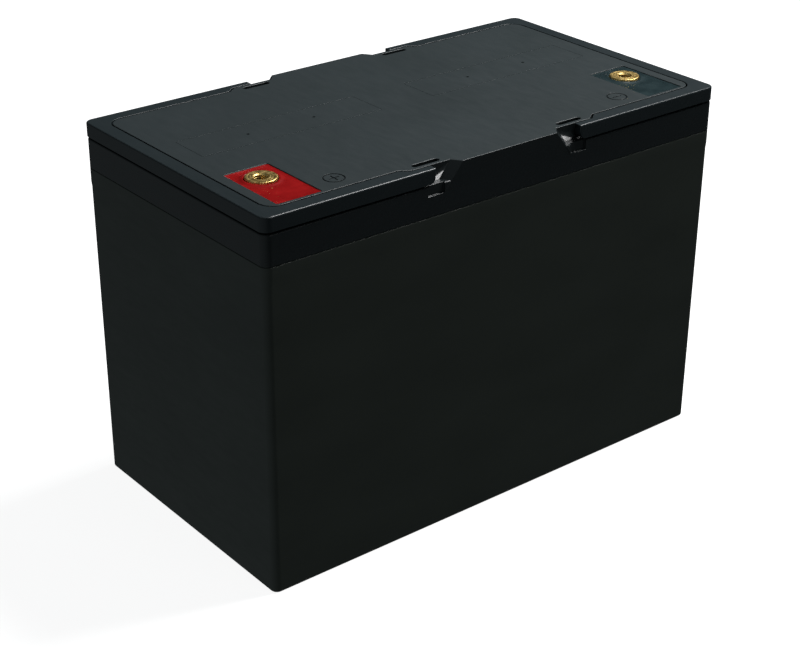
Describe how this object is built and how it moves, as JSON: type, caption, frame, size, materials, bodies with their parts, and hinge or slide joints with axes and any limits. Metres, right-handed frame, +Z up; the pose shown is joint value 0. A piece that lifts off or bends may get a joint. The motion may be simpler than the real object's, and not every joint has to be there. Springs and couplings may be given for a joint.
{
  "type": "battery pack",
  "caption": "Rectangular sealed battery pack with flush folding carry handles at both ends, covered vent valves and threaded brass terminals set in coloured resin.",
  "frame": {"origin": "middle of the base, on the surface that the battery stands on", "axes": "+X along the long side towards the negative terminal's end, +Z up; the terminals are on the -Y side"},
  "size_m": [0.307, 0.167, 0.2117],
  "materials": {
    "case_plastic": "moulded ABS, fine grain, semi-gloss",
    "lid_plastic": "moulded ABS, fine grain, semi-gloss",
    "handle_plastic": "moulded polypropylene, satin",
    "cover_plastic": "moulded ABS, fine grain",
    "epoxy": "cured black epoxy",
    "resin_red": "poured red epoxy",
    "resin_black": "poured blue-black epoxy",
    "brass": "turned brass",
    "cast_lead": "cast lead, dull",
    "positive_mass": "pasted lead dioxide, rough",
    "negative_mass": "pasted sponge lead, rough",
    "glass_mat": "absorbent glass mat",
    "valve_rubber": "moulded rubber",
    "seal_rubber": "moulded rubber"
  },
  "bodies": {
    "battery": {"case": "case_plastic", "lid": "lid_plastic", "lid_seal": "epoxy", "terminal_insert_positive": "brass", "terminal_post_positive": "cast_lead", "terminal_seal_ring_positive": "seal_rubber", "terminal_resin_positive": "resin_red", "terminal_insert_negative": "brass", "terminal_post_negative": "cast_lead", "terminal_seal_ring_negative": "seal_rubber", "terminal_resin_negative": "resin_black", "positive_plates_1": "positive_mass", "negative_plates_1": "negative_mass", "separators_1": "glass_mat", "positive_strap_1": "cast_lead", "negative_strap_1": "cast_lead", "positive_plates_2": "positive_mass", "negative_plates_2": "negative_mass", "separators_2": "glass_mat", "positive_strap_2": "cast_lead", "negative_strap_2": "cast_lead", "positive_plates_3": "positive_mass", "negative_plates_3": "negative_mass", "separators_3": "glass_mat", "positive_strap_3": "cast_lead", "negative_strap_3": "cast_lead", "positive_plates_4": "positive_mass", "negative_plates_4": "negative_mass", "separators_4": "glass_mat", "positive_strap_4": "cast_lead", "negative_strap_4": "cast_lead", "positive_plates_5": "positive_mass", "negative_plates_5": "negative_mass", "separators_5": "glass_mat", "positive_strap_5": "cast_lead", "negative_strap_5": "cast_lead", "positive_plates_6": "positive_mass", "negative_plates_6": "negative_mass", "separators_6": "glass_mat", "positive_strap_6": "cast_lead", "negative_strap_6": "cast_lead", "intercell_weld_1": "cast_lead", "intercell_weld_2": "cast_lead", "intercell_weld_3": "cast_lead", "intercell_weld_4": "cast_lead", "intercell_weld_5": "cast_lead"},
    "left_handle": {"handle_left": "handle_plastic"},
    "right_handle": {"handle_right": "handle_plastic"},
    "left_vent_cover": {"vent_cover_left": "cover_plastic"},
    "right_vent_cover": {"vent_cover_right": "cover_plastic"},
    "valve_1": {"valve_cap_1": "valve_rubber"},
    "valve_2": {"valve_cap_2": "valve_rubber"},
    "valve_3": {"valve_cap_3": "valve_rubber"},
    "valve_4": {"valve_cap_4": "valve_rubber"},
    "valve_5": {"valve_cap_5": "valve_rubber"},
    "valve_6": {"valve_cap_6": "valve_rubber"}
  },
  "joints": [
    {"name": "left_handle_fold", "type": "hinge", "parent": "battery", "child": "left_handle", "pos_m": [-0.0536, 0, 0.207], "axis": [0, 1, 0], "range_deg": [0, 100]},
    {"name": "right_handle_fold", "type": "hinge", "parent": "battery", "child": "right_handle", "pos_m": [0.0536, 0, 0.207], "axis": [0, -1, 0], "range_deg": [0, 100]},
    {"name": "left_vent_cover_lift", "type": "slide", "parent": "battery", "child": "left_vent_cover", "axis": [0, 0, 1], "range_m": [0, 0.012]},
    {"name": "right_vent_cover_lift", "type": "slide", "parent": "battery", "child": "right_vent_cover", "axis": [0, 0, 1], "range_m": [0, 0.012]},
    {"name": "valve_1_lift", "type": "slide", "parent": "battery", "child": "valve_1", "axis": [0, 0, 1], "range_m": [0, 0.00045], "stiffness_N_per_m": 2000, "springref_m": -0.0004},
    {"name": "valve_2_lift", "type": "slide", "parent": "battery", "child": "valve_2", "axis": [0, 0, 1], "range_m": [0, 0.00045], "stiffness_N_per_m": 2000, "springref_m": -0.0004},
    {"name": "valve_3_lift", "type": "slide", "parent": "battery", "child": "valve_3", "axis": [0, 0, 1], "range_m": [0, 0.00045], "stiffness_N_per_m": 2000, "springref_m": -0.0004},
    {"name": "valve_4_lift", "type": "slide", "parent": "battery", "child": "valve_4", "axis": [0, 0, 1], "range_m": [0, 0.00045], "stiffness_N_per_m": 2000, "springref_m": -0.0004},
    {"name": "valve_5_lift", "type": "slide", "parent": "battery", "child": "valve_5", "axis": [0, 0, 1], "range_m": [0, 0.00045], "stiffness_N_per_m": 2000, "springref_m": -0.0004},
    {"name": "valve_6_lift", "type": "slide", "parent": "battery", "child": "valve_6", "axis": [0, 0, 1], "range_m": [0, 0.00045], "stiffness_N_per_m": 2000, "springref_m": -0.0004}
  ]
}
